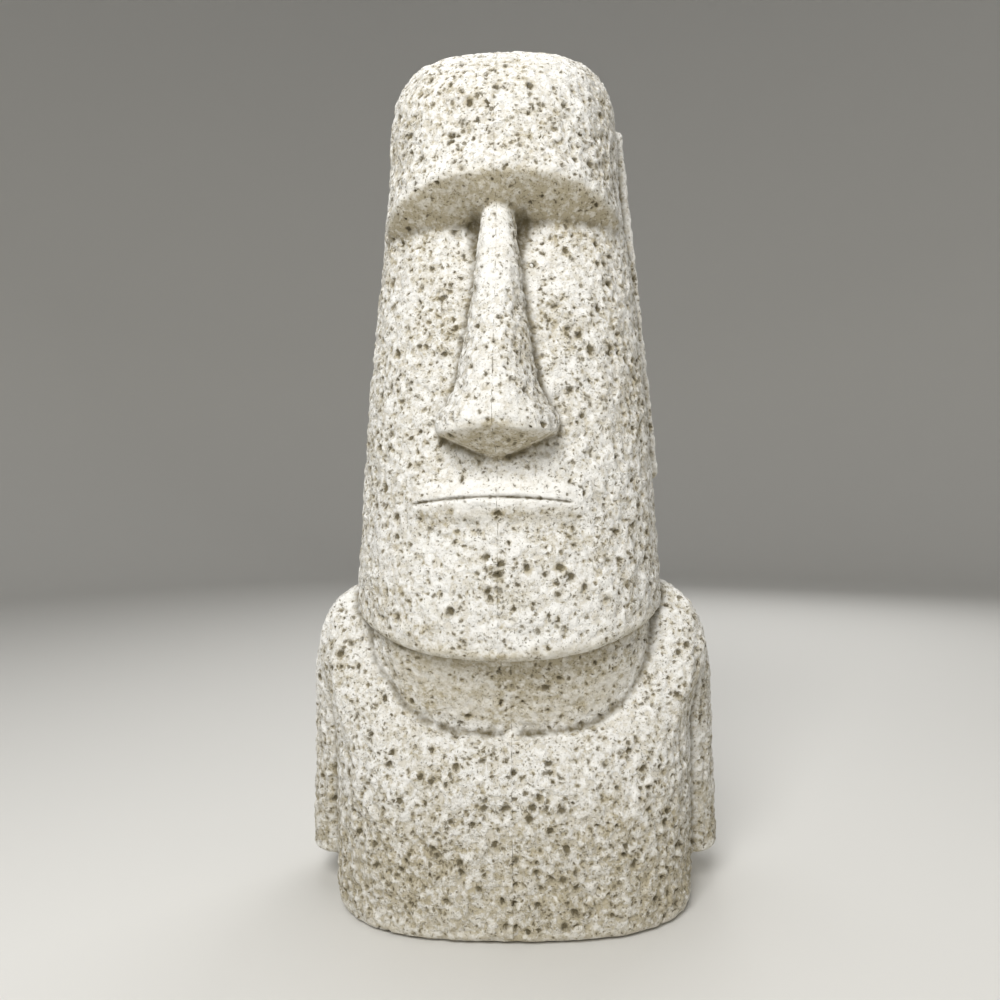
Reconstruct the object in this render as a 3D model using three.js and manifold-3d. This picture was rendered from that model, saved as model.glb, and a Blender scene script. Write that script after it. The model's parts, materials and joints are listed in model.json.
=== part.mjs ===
// A garden moai: a long stone head on a short torso with straight arms, cast in one piece.
// Millimetres, +Z up. The torso faces -Y and the origin is the centre of the underside.
import * as THREE from "three";
import { mergeVertices } from "three/addons/utils/BufferGeometryUtils.js";
import Module from "manifold-3d";

// ---------------------------------------------------------------- driving dimensions
const HEIGHT = 687;
const HEAD_TURN = -4; // degrees about +Z: the face looks a little to its own right
const HEAD_SHIFT = -0.8; // the head sits this far off the body's middle

const TORSO = {
  halfWidth: 146,
  front: 96,
  back: 95,
  squareness: 2.6, // exponent of the plan's superellipse
  inset: { front: 25, back: 14 }, // how far the rounded top edge runs in towards the neck
  roundHeight: { chest: 76, shoulder: 58 },
  shoulderSwell: 14, // the sides swell this much to cover the tops of the arms
  swellFrom: 150,
  swellTo: 206,
  footRound: 10,
  columns: 46,
};

// Height of the body where it meets the neck, by distance from the middle.
const COLLAR = {
  across: [0, 30, 57, 86, 98, 108, 117],
  height: [143, 144, 148, 164, 185, 214, 254],
};

const ARM = {
  x: 146,
  y: 26,
  halfThick: 28.5,
  front: 43,
  back: 43,
  squareness: 2.4,
  bottom: 28,
  top: 242,
  endRound: 8,
  shoulderRound: 66, // height of the rounded top
  shoulderForward: 16, // the shoulder comes this much further forward than the hand
  taper: 0.035, // how fast the arm draws in with height
  columns: 22,
};

// The neck draws in from under the jaw to the crease where it meets the chest.
const NECK = {
  foot: { halfWidth: 106, front: 63, back: 74, height: 90 },
  crease: { halfWidth: 107, front: 65, back: 74, height: 143 },
  jaw: { halfWidth: 117, front: 87, back: 74, height: 207 },
  top: { halfWidth: 117, front: 88, back: 74, height: 240 },
  squareness: 2.9,
  columns: 36,
};

const HEAD = {
  jaw: { halfWidth: 125, front: 106, back: 78, height: 206 }, // height is the chin's lower edge
  temple: { halfWidth: 96, front: 92, back: 76, height: 580 },
  belly: 5.5, // the sides swell this much between jaw and temple
  crownStart: 600,
  crownRound: { front: 2.14, side: 3.65, back: 2.4 }, // higher is squarer
  crownLean: 0.032, // the crown falls this much towards its own left
  crownSetBack: 8, // the highest point lies this far behind the middle
  squareness: 2.55, // of the face's plan
  backSquareness: 2.9,
  underChinRows: 3,
  chinRise: 34, // the jaw's lower edge climbs this far from the chin to the cheek
  columns: 59,
};

// A hollow each side of the bridge, where the eye plane runs in under the brow.
const EYE_CORNER = { across: 25, height: 529, depth: 7, wide: 13, high: 26 };

const BROW = {
  edge: 556, // height of the brow's edge in the middle
  front: 98,
  arch: 22, // the edge drops this far at the temples
  round: 9,
  covePlane: 66, // depth of the eye plane under the brow
  coveBottom: 533,
};

// The lips stand proudest from the slit down to the lower lip, then turn under steeply.
const MOUTH = { height: 324, halfWidth: 74, proud: 7, lowerLip: 5, under: 17, above: 26, bow: 5 };

// Sections of the nose from its underside up: height, half width, ridge, the depth of its root and
// how square its plan is. The underside slants back from the tip and stops short of the face.
const NOSE = {
  sections: [
    { z: 353.5, halfWidth: 7, ridge: 101.5, root: 88, square: 3 },
    { z: 358, halfWidth: 18, ridge: 107, root: 88, square: 3.4 },
    { z: 364, halfWidth: 32, ridge: 116.5, root: 88, square: 3.4 },
    { z: 369.5, halfWidth: 44, ridge: 127, root: 89, square: 2.7 },
    { z: 377, halfWidth: 46.5, ridge: 131, root: 90, square: 2.1 },
    { z: 386, halfWidth: 44.5, ridge: 130.5, root: 89, square: 1.9 },
    { z: 393, halfWidth: 38, ridge: 128, root: 88, square: 1.9 },
    { z: 401, halfWidth: 33.5, ridge: 125.5, root: 86, square: 2 },
    { z: 412, halfWidth: 30.5, ridge: 122, root: 84, square: 2.1 },
    { z: 440, halfWidth: 26, ridge: 111.5, root: 80, square: 2.2 },
    { z: 470, halfWidth: 21, ridge: 100, root: 74, square: 2.4 },
    { z: 515, halfWidth: 16.5, ridge: 85.5, root: 62, square: 2.8 },
    { z: 533, halfWidth: 14.5, ridge: 82, root: 56, square: 3 },
    { z: 542, halfWidth: 13.5, ridge: 80.5, root: 54, square: 3 },
  ],
  back: 14,
  columns: 28,
  rows: 22,
};

const EAR = {
  bottom: 336,
  top: 635,
  front: 8,
  deep: 44,
  proud: 7,
  embed: 22,
  corner: 12,
  rim: 9,
  recess: 4,
};

// ---------------------------------------------------------------- small helpers
const { PI, abs, exp, sin, cos, min, max, pow } = Math;
const mix = THREE.MathUtils.lerp;
const smooth = THREE.MathUtils.smoothstep;
const wasm = await Module();
wasm.setup();

/** Turns a closed three.js geometry into a solid that can be joined and cut. */
function solid(geometry) {
  const bare = geometry.clone();
  bare.deleteAttribute("normal");
  bare.deleteAttribute("uv");
  const merged = mergeVertices(bare, 1e-3);
  return new wasm.Manifold(
    new wasm.Mesh({
      numProp: 3,
      vertProperties: new Float32Array(merged.attributes.position.array),
      triVerts: new Uint32Array(merged.index.array),
    }),
  );
}

/** Turns a solid back into a geometry. */
function geometryOf(made) {
  const mesh = made.getMesh();
  return new THREE.BufferGeometry()
    .setAttribute("position", new THREE.BufferAttribute(mesh.vertProperties, mesh.numProp))
    .setIndex(new THREE.BufferAttribute(mesh.triVerts, 1));
}

/** A ball whose rows and columns are drawn out to place(column share, row share), row 0 being the top. */
function carvedBall(columns, rows, place) {
  const ball = new THREE.SphereGeometry(1, columns, rows);
  const position = ball.getAttribute("position");
  for (let row = 0; row <= rows; row++) {
    for (let column = 0; column <= columns; column++) {
      const point = place((column % columns) / columns, row / rows);
      position.setXYZ(row * (columns + 1) + column, point.x, point.y, point.z);
    }
  }
  return ball;
}

/** Direction round the plan for a share of a turn, starting at the back, with more columns in front. */
function around(share, frontBias) {
  const turn = share * 2 * PI;
  return PI / 2 + turn + frontBias * sin(turn);
}

/** Distance from the centre to a superellipse in the direction of angle. */
function planReach(angle, halfWidth, depth, squareness) {
  const across = pow(abs(cos(angle)) / halfWidth, squareness);
  const along = pow(abs(sin(angle)) / depth, squareness);
  return pow(across + along, -1 / squareness);
}

/** A point of a plan outline with its own depth in front and behind, scaled towards the centre. */
function planPoint(angle, size, scale = 1) {
  const facing = sin(angle) < 0;
  const reach = planReach(
    angle,
    size.halfWidth,
    facing ? size.front : size.back,
    facing ? size.squareness : (size.backSquareness ?? size.squareness),
  );
  return { x: reach * cos(angle) * scale, y: reach * sin(angle) * scale };
}

// ---------------------------------------------------------------- torso, arms and neck
/** The block of the body: flat underside, upright sides, a chest that rolls in and high shoulders. */
function torso() {
  const collar = new THREE.CubicInterpolant(COLLAR.across, COLLAR.height, 1);
  const foot = TORSO.footRound;
  const levels = [
    ...[0, 0.6].map((out) => ({ part: "underside", out })),
    ...[0, 0.5, 1].map((turn) => ({ part: "foot", turn })),
    ...[0.4, 0.72, 0.88, 1].map((climb) => ({ part: "wall", climb })),
    ...Array.from({ length: 8 }, (_, step) => ({ part: "round", turn: (step + 1) / 8 })),
    ...[0.4, 1].map((inward) => ({ part: "top", inward })),
  ];
  return carvedBall(TORSO.columns, levels.length - 1, (u, v) => {
    const level = levels[Math.round((1 - v) * (levels.length - 1))];
    const angle = around(u, 0.15);
    const edge = planPoint(angle, TORSO);
    const reach = Math.hypot(edge.x, edge.y);
    const inset = mix(TORSO.inset.front, TORSO.inset.back, smooth(sin(angle), 0, 0.6));
    const neckLine = abs(edge.x) * (1 - inset / reach);
    const top = edge.y > 0 ? COLLAR.height.at(-1) : collar.evaluate(neckLine)[0];
    const rising = (top - COLLAR.height[0]) / (COLLAR.height.at(-1) - COLLAR.height[0]);
    const roundHeight = mix(TORSO.roundHeight.chest, TORSO.roundHeight.shoulder, rising);
    const straight = top - roundHeight;
    const side = TORSO.shoulderSwell * smooth(abs(edge.x), TORSO.halfWidth - 34, TORSO.halfWidth - 4);
    const swell = (height) => side * smooth(height, TORSO.swellFrom, TORSO.swellTo);
    let out = reach;
    let z = 0;
    if (level.part === "underside") {
      out = (reach - foot) * level.out;
    } else if (level.part === "foot") {
      const turn = level.turn * (PI / 2);
      out = reach - foot * (1 - sin(turn));
      z = foot * (1 - cos(turn));
    } else if (level.part === "wall") {
      z = mix(foot, straight, level.climb);
      out = reach + swell(z);
    } else if (level.part === "round") {
      const turn = level.turn * (PI / 2);
      z = straight + roundHeight * sin(turn);
      out = reach + swell(z) - (inset + side) * (1 - cos(turn));
    } else {
      z = mix(top, COLLAR.height.at(-1), pow(level.inward, 3));
      out = (reach - inset) * (1 - level.inward);
    }
    return { x: (edge.x / reach) * out, y: (edge.y / reach) * out, z };
  });
}

/** One arm: a straight half-round band down the side, cut level above the ground. */
function arm(side) {
  const shoulder = ARM.top - ARM.shoulderRound;
  const round = ARM.endRound;
  const end = 1 - round / ARM.halfThick;
  const levels = [
    { scale: 0, z: ARM.bottom },
    { scale: end, z: ARM.bottom },
    { scale: mix(end, 1, 0.7), z: ARM.bottom + round * 0.3 },
    { scale: 1, z: ARM.bottom + round },
    ...[0.5, 0.7, 0.85].map((climb) => ({ scale: 1, z: mix(ARM.bottom, shoulder, climb) })),
    ...Array.from({ length: 8 }, (_, step) => {
      const turn = (step / 7) * (PI / 2);
      return { scale: pow(max(cos(turn), 0), 0.9), z: shoulder + ARM.shoulderRound * sin(turn) };
    }),
  ];
  return carvedBall(ARM.columns, levels.length - 1, (u, v) => {
    const { scale, z } = levels[Math.round((1 - v) * (levels.length - 1))];
    const forward = ARM.shoulderForward * smooth(z, ARM.bottom + 70, ARM.top - 20);
    const size = {
      halfWidth: ARM.halfThick,
      front: ARM.front + forward,
      back: ARM.back,
      squareness: ARM.squareness,
    };
    const outline = planPoint(around(u, 0.1), size, scale);
    const lean = ARM.taper * (z - ARM.bottom);
    return { x: side * (ARM.x - lean) + outline.x, y: ARM.y + outline.y, z };
  });
}

/** The neck, mostly hidden: it shows as a band between the chin and the chest. */
function neck() {
  const levels = [
    { ...NECK.foot, scale: 0 },
    { ...NECK.foot, scale: 1 },
    { ...NECK.crease, scale: 1 },
    { ...NECK.jaw, scale: 1 },
    { ...NECK.top, scale: 1 },
    { ...NECK.top, scale: 0 },
  ];
  return carvedBall(NECK.columns, levels.length - 1, (u, v) => {
    const level = levels[Math.round((1 - v) * (levels.length - 1))];
    const size = { ...level, squareness: NECK.squareness };
    return { ...planPoint(around(u, 0.15), size, level.scale), z: level.height };
  });
}

// ---------------------------------------------------------------- head
/** How a width or depth of the head runs from the jaw up to the temple and beyond. */
function alongHead(key, z) {
  const share = (z - HEAD.jaw.height) / (HEAD.temple.height - HEAD.jaw.height);
  const straight = mix(HEAD.jaw[key], HEAD.temple[key], share);
  const belly = key === "halfWidth" ? HEAD.belly * sin(PI * min(max(share, 0), 1)) : 0;
  return straight + belly;
}

/** Centre-line profile of the face from under the chin up to the brow's edge: depth and height. */
function faceProfile() {
  const point = (depth, z) => new THREE.Vector2(depth, z);
  const chin = HEAD.jaw.front;
  const low = HEAD.jaw.height;
  const lip = MOUTH.height;
  const plane = BROW.covePlane;
  const underBrow = point(plane, BROW.coveBottom);
  const browEdge = point(BROW.front - 3, BROW.edge);
  const parts = [
    { rows: HEAD.underChinRows, curve: new THREE.LineCurve(point(0, low + 6), point(chin - 10, low)) },
    {
      rows: 3,
      curve: new THREE.QuadraticBezierCurve(
        point(chin - 10, low),
        point(chin - 1, low),
        point(chin, low + 9),
      ),
    },
    {
      rows: 5,
      curve: new THREE.SplineCurve([
        point(chin, low + 9),
        point(chin - 1, low + 46),
        point(chin - 7, lip - 24),
      ]),
    },
    { rows: 7, curve: new THREE.LineCurve(point(chin - 7, lip - 24), point(chin - 11, lip + 20)) },
    {
      rows: 13,
      curve: new THREE.SplineCurve([
        point(chin - 11, lip + 20),
        point(chin - 17, lip + 66),
        point(plane + 12, 460),
        point(plane + 1.5, BROW.coveBottom - 14),
        underBrow,
      ]),
    },
    {
      rows: 4,
      curve: new THREE.QuadraticBezierCurve(underBrow, point(plane + 15, BROW.edge - 15), browEdge),
    },
    {
      rows: 3,
      curve: new THREE.QuadraticBezierCurve(
        browEdge,
        point(BROW.front + 1.5, BROW.edge + 2),
        point(BROW.front - 0.5, BROW.edge + BROW.round + 3),
      ),
    },
  ];
  return parts.flatMap(({ curve, rows }, index) =>
    curve.getSpacedPoints(rows).slice(index === 0 ? 0 : 1),
  );
}

/** Depth of the forehead in front, which leans back from the brow to the crown. */
function foreheadDepth(z) {
  const flare = 4.5 * pow(max(1 - (z - BROW.edge) / 34, 0), 2);
  return mix(HEAD.temple.front, 84, (z - HEAD.temple.height) / 100) + flare;
}

/** Every row of the head from the underside of the jaw to the crown. */
function headRows() {
  const face = faceProfile().map((point, index) => {
    const scale = min(index / HEAD.underChinRows, 1);
    return { front: point.x, z: point.y, scale };
  });
  const start = face[face.length - 1].z;
  const forehead = [0.4, 0.75].map((share) => {
    const z = mix(start, HEAD.crownStart, share);
    return { front: foreheadDepth(z), z, scale: 1 };
  });
  const steps = 10;
  const crown = Array.from({ length: steps }, (_, step) => {
    const climb = pow(sin(((step + 1) / steps) * (PI / 2)), 0.8);
    return { front: foreheadDepth(HEAD.crownStart), z: HEAD.crownStart, scale: 1, climb };
  });
  return [...face, ...forehead, ...crown];
}

/** How much of a crown row's width or depth is left once it has climbed its share of the crown. */
function crownShrink(climb, roundness) {
  return pow(max(1 - pow(climb, roundness), 0), 1 / roundness);
}

/** How far a row that is level in the middle hangs down at the sides. */
const DROOP = [
  { height: 150, drop: -HEAD.chinRise },
  { height: HEAD.jaw.height, drop: -HEAD.chinRise },
  { height: 262, drop: -12 },
  { height: MOUTH.height, drop: MOUTH.bow },
  { height: 400, drop: 4 },
  { height: 470, drop: 2 },
  { height: BROW.coveBottom, drop: 4 },
  { height: BROW.edge + 5, drop: BROW.arch },
  { height: 590, drop: BROW.arch },
  { height: 620, drop: 16 },
  { height: 660, drop: 4 },
  { height: 700, drop: 0 },
];
const rowDroop = new THREE.CubicInterpolant(
  DROOP.map((level) => level.height),
  DROOP.map((level) => level.drop),
  1,
);

/** The lips: a long low fold, steeper below, that fades out at its ends. */
function lipProud(x, z) {
  const along = 1 - smooth(abs(x), MOUTH.halfWidth * 0.6, MOUTH.halfWidth * 1.1);
  const under = 1 - smooth(MOUTH.height - MOUTH.lowerLip - z, 0, MOUTH.under);
  const above = 1 - smooth(z - MOUTH.height, 2, MOUTH.above);
  return MOUTH.proud * along * under * above;
}

/** The hollows beside the bridge of the nose. */
function eyeHollow(x, z) {
  const across = (abs(x) - EYE_CORNER.across) / EYE_CORNER.wide;
  const climb = (z - EYE_CORNER.height) / EYE_CORNER.high;
  return EYE_CORNER.depth * exp(-across * across - climb * climb);
}

/** The skull, jaw and face plane with the brow's arch, before the nose and ears go on. */
function head() {
  const rows = headRows();
  return carvedBall(HEAD.columns, rows.length - 1, (u, v) => {
    const row = rows[Math.round((1 - v) * (rows.length - 1))];
    const angle = around(u, 0.3);
    const climb = row.climb ?? 0;
    const size = {
      halfWidth: alongHead("halfWidth", row.z) * crownShrink(climb, HEAD.crownRound.side),
      front: (row.front / max(row.scale, 1e-6)) * crownShrink(climb, HEAD.crownRound.front),
      back: alongHead("back", row.z) * crownShrink(climb, HEAD.crownRound.back),
      squareness: HEAD.squareness,
      backSquareness: HEAD.backSquareness,
    };
    const outline = climb < 1 ? planPoint(angle, size, row.scale) : { x: 0, y: 0 };
    const across = min(abs(outline.x) / alongHead("halfWidth", row.z), 1);
    const facing = smooth(-sin(angle), -0.25, 0.3);
    const droop = rowDroop.evaluate(row.z)[0] * pow(across, 2.6) * mix(0.35, 1, facing);
    const front = outline.y < 0 ? 1 : 0;
    const proud = front * (lipProud(outline.x, row.z) - eyeHollow(outline.x, row.z));
    return {
      x: outline.x,
      y: outline.y - proud + HEAD.crownSetBack * climb * climb,
      z: row.z + (HEIGHT - HEAD.crownStart - HEAD.crownLean * outline.x) * climb - droop * (1 - climb),
    };
  });
}

/** The nose: a narrow bridge under the brow that widens to broad wings. */
function nose() {
  const heights = NOSE.sections.map((section) => section.z);
  const along = (key) =>
    new THREE.CubicInterpolant(
      heights,
      NOSE.sections.map((section) => section[key]),
      1,
    );
  const halfWidths = along("halfWidth");
  const ridges = along("ridge");
  const roots = along("root");
  const squares = along("square");
  const bottom = heights[0];
  const top = heights[heights.length - 1];
  return carvedBall(NOSE.columns, NOSE.rows, (u, v) => {
    const row = Math.round((1 - v) * NOSE.rows);
    const scale = row === 0 || row === NOSE.rows ? 0 : 1;
    const climb = THREE.MathUtils.clamp((row - 1) / (NOSE.rows - 2), 0, 1);
    const z = mix(bottom, top, pow(climb, 1.5));
    const halfWidth = halfWidths.evaluate(z)[0];
    const root = roots.evaluate(z)[0];
    const size = {
      halfWidth,
      front: ridges.evaluate(z)[0] - root,
      back: NOSE.back,
      squareness: squares.evaluate(z)[0],
    };
    const outline = planPoint(around(u, 0.3), size, scale);
    return { x: outline.x, y: outline.y - root, z };
  });
}

/** One ear: a long slab with a raised rim, lying along the side of the head. */
function ear(side) {
  const length = EAR.top - EAR.bottom;
  const outline = (inset) => {
    const shape = new THREE.Shape();
    const halfLong = length / 2 - inset;
    const halfDeep = EAR.deep / 2 - inset;
    const corner = EAR.corner - inset * 0.6;
    shape.moveTo(-halfDeep + corner, -halfLong);
    shape.lineTo(halfDeep - corner, -halfLong);
    shape.absarc(halfDeep - corner, -halfLong + corner, corner, -PI / 2, 0);
    shape.lineTo(halfDeep, halfLong - corner);
    shape.absarc(halfDeep - corner, halfLong - corner, corner, 0, PI / 2);
    shape.lineTo(-halfDeep + corner, halfLong);
    shape.absarc(-halfDeep + corner, halfLong - corner, corner, PI / 2, PI);
    shape.lineTo(-halfDeep, -halfLong + corner);
    shape.absarc(-halfDeep + corner, -halfLong + corner, corner, PI, 1.5 * PI);
    return shape;
  };
  const slab = new THREE.ExtrudeGeometry(outline(2), {
    depth: EAR.embed + EAR.proud - 2,
    bevelThickness: 2,
    bevelSize: 2,
    bevelSegments: 1,
    curveSegments: 3,
    steps: 1,
  });
  const hollow = new THREE.ExtrudeGeometry(outline(EAR.rim + 1), {
    depth: EAR.recess * 2,
    bevelThickness: 1,
    bevelSize: 1,
    bevelSegments: 1,
    curveSegments: 3,
  });
  hollow.translate(0, 0, EAR.embed + EAR.proud - EAR.recess);
  const z = (EAR.bottom + EAR.top) / 2;
  const low = alongHead("halfWidth", EAR.bottom);
  const high = alongHead("halfWidth", EAR.top);
  const tilt = Math.atan2(low - high, length);
  const frame = new THREE.Matrix4()
    .makeTranslation(side * ((low + high) / 2 - EAR.embed), EAR.front + EAR.deep / 2, z)
    .multiply(new THREE.Matrix4().makeRotationY(-side * tilt))
    .multiply(
      new THREE.Matrix4().makeBasis(
        new THREE.Vector3(0, side, 0),
        new THREE.Vector3(0, 0, 1),
        new THREE.Vector3(side, 0, 0),
      ),
    );
  return solid(slab.applyMatrix4(frame)).subtract(solid(hollow.applyMatrix4(frame)));
}

// ---------------------------------------------------------------- the casting
/** Head parts joined and turned, then set on the neck and body. */
function casting() {
  const turned = solid(head())
    .add(solid(nose()))
    .add(ear(1))
    .add(ear(-1))
    .rotate([0, 0, HEAD_TURN])
    .translate([HEAD_SHIFT, 0, 0]);
  return solid(torso())
    .add(solid(arm(1)))
    .add(solid(arm(-1)))
    .add(solid(neck()))
    .add(turned);
}

const stone = new THREE.MeshStandardMaterial({ color: 0xd9d4c3, roughness: 0.92, metalness: 0 });
const statue = new THREE.Mesh(geometryOf(casting()), stone);
statue.name = "moai_statue";

const group = new THREE.Group();
group.add(statue);
export default group;
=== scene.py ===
"""A garden moai in cast stone: fine carving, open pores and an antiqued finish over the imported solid.

Metres, +Z up. The torso faces -Y and the origin is the centre of the underside.
"""

import json
import logging
import math
from dataclasses import dataclass
from enum import Enum
from typing import Any

import bpy
import numpy as np
from mathutils import Matrix, Vector

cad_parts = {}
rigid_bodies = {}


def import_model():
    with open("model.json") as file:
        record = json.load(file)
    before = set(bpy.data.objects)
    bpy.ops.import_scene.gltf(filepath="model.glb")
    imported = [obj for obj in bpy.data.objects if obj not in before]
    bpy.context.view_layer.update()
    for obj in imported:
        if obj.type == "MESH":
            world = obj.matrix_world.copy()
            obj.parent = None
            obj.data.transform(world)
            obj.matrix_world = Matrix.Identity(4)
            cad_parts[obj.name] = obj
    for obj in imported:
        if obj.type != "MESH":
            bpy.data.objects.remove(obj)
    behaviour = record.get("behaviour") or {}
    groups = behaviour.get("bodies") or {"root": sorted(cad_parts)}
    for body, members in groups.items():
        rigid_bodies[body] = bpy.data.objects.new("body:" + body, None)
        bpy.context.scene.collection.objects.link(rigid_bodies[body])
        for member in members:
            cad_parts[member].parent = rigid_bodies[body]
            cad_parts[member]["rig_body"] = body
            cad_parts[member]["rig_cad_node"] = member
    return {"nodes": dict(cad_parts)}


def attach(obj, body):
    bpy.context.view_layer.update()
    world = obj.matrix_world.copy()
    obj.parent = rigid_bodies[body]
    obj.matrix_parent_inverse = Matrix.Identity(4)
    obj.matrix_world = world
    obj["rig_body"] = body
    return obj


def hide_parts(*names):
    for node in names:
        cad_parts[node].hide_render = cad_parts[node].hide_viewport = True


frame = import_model()

log = logging.getLogger("garden_moai")

Colour = tuple[float, float, float, float]
Place = tuple[float, float, float]
Span = tuple[float, float]
MM = 0.001
SMOOTHING = 0.5
# The middle of a random colour, and the factor that makes a second random colour of it.
MIDDLE: Place = (0.5, 0.5, 0.5)
SHUFFLE: Place = (7.0, 7.0, 7.0)


class Carried(Enum):
    """Values that the skin carries from its making to its finish."""

    PLACE = "cast_place"
    CREASE = "crease"
    EDGE = "edge"
    SEAM = "seam_side"
    RUBBED = "rubbed"
    OPEN = "open_skin"
    SHADE_AND_WASH = "shade_and_wash"


# ---------------------------------------------------------------- helpers for meshes
def deselect_all() -> None:
    """Leaves nothing selected, as the loaded solids come in selected."""
    for item in bpy.context.view_layer.objects:
        item.select_set(False)


def make_active(piece: bpy.types.Object) -> None:
    """Selects one piece alone and makes it the active one.

    Args:
        piece: The object to work on.
    """
    deselect_all()
    piece.select_set(True)
    bpy.context.view_layer.objects.active = piece


def apply_modifier(piece: bpy.types.Object, kind: str, **settings: Any) -> None:
    """Adds a modifier and applies it at once.

    Args:
        piece: The object to change.
        kind: The modifier's type, such as SMOOTH.
        **settings: The modifier's own settings by name.
    """
    make_active(piece)
    modifier = piece.modifiers.new(kind.title(), kind)
    for name, value in settings.items():
        setattr(modifier, name, value)
    bpy.ops.object.modifier_apply(modifier=modifier.name)


def read_points(piece: bpy.types.Object) -> np.ndarray:
    """Reads the vertices of a piece.

    Args:
        piece: A mesh object.

    Returns:
        One row of x, y, z for each vertex, in metres.
    """
    points = np.empty(len(piece.data.vertices) * 3, np.float32)
    piece.data.vertices.foreach_get("co", points)
    return points.reshape(-1, 3).astype(float)


def read_normals(piece: bpy.types.Object) -> np.ndarray:
    """Reads the outward direction at each vertex of a piece.

    Args:
        piece: A mesh object.

    Returns:
        One row of x, y, z for each vertex, of length one.
    """
    normals = np.empty(len(piece.data.vertices) * 3, np.float32)
    piece.data.vertex_normals.foreach_get("vector", normals)
    return normals.reshape(-1, 3).astype(float)


def write_points(piece: bpy.types.Object, points: np.ndarray) -> None:
    """Moves the vertices of a piece.

    Args:
        piece: A mesh object.
        points: One row of x, y, z for each vertex, in metres.
    """
    piece.data.vertices.foreach_set("co", points.astype(np.float32).ravel())
    piece.data.update()


def carry(piece: bpy.types.Object, name: Carried, values: np.ndarray) -> None:
    """Stores one number for each vertex, for the finish to read.

    Args:
        piece: A mesh object.
        name: What the numbers are.
        values: One number for each vertex.
    """
    layer = piece.data.attributes.new(name.value, "FLOAT", "POINT")
    layer.data.foreach_set("value", values.astype(np.float32))


def ease(values: np.ndarray, start: float, end: float) -> np.ndarray:
    """Runs smoothly from 0 at start to 1 at end.

    Args:
        values: The numbers to map.
        start: Where the result leaves 0.
        end: Where the result reaches 1, which may lie below start.

    Returns:
        Numbers from 0 to 1.
    """
    share = np.clip((values - start) / (end - start), 0, 1)
    return share * share * (3 - 2 * share)


# ---------------------------------------------------------------- helpers for node trees
@dataclass(frozen=True)
class Ramp:
    """A smooth run from one value to another.

    Attributes:
        start: The number that gives low.
        end: The number that gives high, which may lie below start.
        low: The result at start and before it.
        high: The result at end and past it.
    """

    start: float
    end: float
    low: float = 0.0
    high: float = 1.0


@dataclass(frozen=True)
class Pattern:
    """The make of a soft random pattern.

    Attributes:
        size: The width of its blotches in metres.
        detail: How many finer layers it has.
        roughness: How strong the finer layers are.
    """

    size: float
    detail: float
    roughness: float


@dataclass
class Graph:
    """Builds the same kinds of node in a finish and in a mesh modifier.

    Attributes:
        tree: The node tree that is added to.
    """

    tree: bpy.types.NodeTree

    def add(self, kind: str, inputs: dict[Any, Any] | None = None, **settings: Any) -> bpy.types.Node:
        """Adds one node.

        Args:
            kind: The node's type.
            inputs: A socket to link or a value to set, by the input's name or number.
            **settings: The node's own settings by name.

        Returns:
            The new node.
        """
        node = self.tree.nodes.new(kind)
        for name, value in settings.items():
            setattr(node, name, value)
        for key, value in (inputs or {}).items():
            if isinstance(value, bpy.types.NodeSocket):
                self.tree.links.new(value, node.inputs[key])
            else:
                node.inputs[key].default_value = value
        return node

    def math(self, operation: str, *values: Any) -> bpy.types.NodeSocket:
        """Adds one sum on numbers and returns its result."""
        return self.add("ShaderNodeMath", dict(enumerate(values)), operation=operation).outputs[0]

    def vector(self, operation: str, *values: Any) -> bpy.types.NodeSocket:
        """Adds one sum on vectors and returns its result."""
        inputs = dict(enumerate(values))
        return self.add("ShaderNodeVectorMath", inputs, operation=operation).outputs[0]

    def dot(self, first: Any, second: Any) -> bpy.types.NodeSocket:
        """Adds the product of two vectors and returns its number."""
        inputs = {0: first, 1: second}
        return self.add("ShaderNodeVectorMath", inputs, operation="DOT_PRODUCT").outputs["Value"]

    def fit(self, value: Any, ramp: Ramp) -> bpy.types.NodeSocket:
        """Maps a number smoothly from one range to another.

        Args:
            value: The number's socket.
            ramp: The two ranges.

        Returns:
            The socket of the result.
        """
        inputs = {
            "Value": value,
            "From Min": ramp.start,
            "From Max": ramp.end,
            "To Min": ramp.low,
            "To Max": ramp.high,
        }
        return self.add("ShaderNodeMapRange", inputs, interpolation_type="SMOOTHSTEP").outputs[0]

    def noise(self, place: Any, pattern: Pattern) -> bpy.types.Node:
        """Adds a soft random pattern.

        Args:
            place: The socket of the place.
            pattern: The make of the pattern.

        Returns:
            The node, with Fac and Color.
        """
        inputs = {
            "Vector": place,
            "Scale": 1 / pattern.size,
            "Detail": pattern.detail,
            "Roughness": pattern.roughness,
        }
        return self.add("ShaderNodeTexNoise", inputs)

    def link(self, source: bpy.types.NodeSocket, target: bpy.types.NodeSocket) -> None:
        """Links one socket to another."""
        self.tree.links.new(source, target)

    def blend(self, amount: Any, under: Any, over: Any) -> bpy.types.NodeSocket:
        """Lays one colour over another.

        Args:
            amount: How much of the upper colour shows, from 0 to 1.
            under: The lower colour or its socket.
            over: The upper colour or its socket.

        Returns:
            The socket of the mixed colour.
        """
        mix = self.add("ShaderNodeMix", {0: amount, 6: under, 7: over}, data_type="RGBA")
        return mix.outputs[2]


def geometry_tree(name: str) -> tuple[bpy.types.NodeTree, Graph, bpy.types.NodeSocket]:
    """Starts a node tree that changes a mesh.

    Args:
        name: What the tree does.

    Returns:
        The tree, its graph and the socket of the mesh that comes in.
    """
    tree = bpy.data.node_groups.new(name, "GeometryNodeTree")
    for way in ("INPUT", "OUTPUT"):
        tree.interface.new_socket("Geometry", in_out=way, socket_type="NodeSocketGeometry")
    graph = Graph(tree)
    return tree, graph, graph.add("NodeGroupInput").outputs[0]


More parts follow.
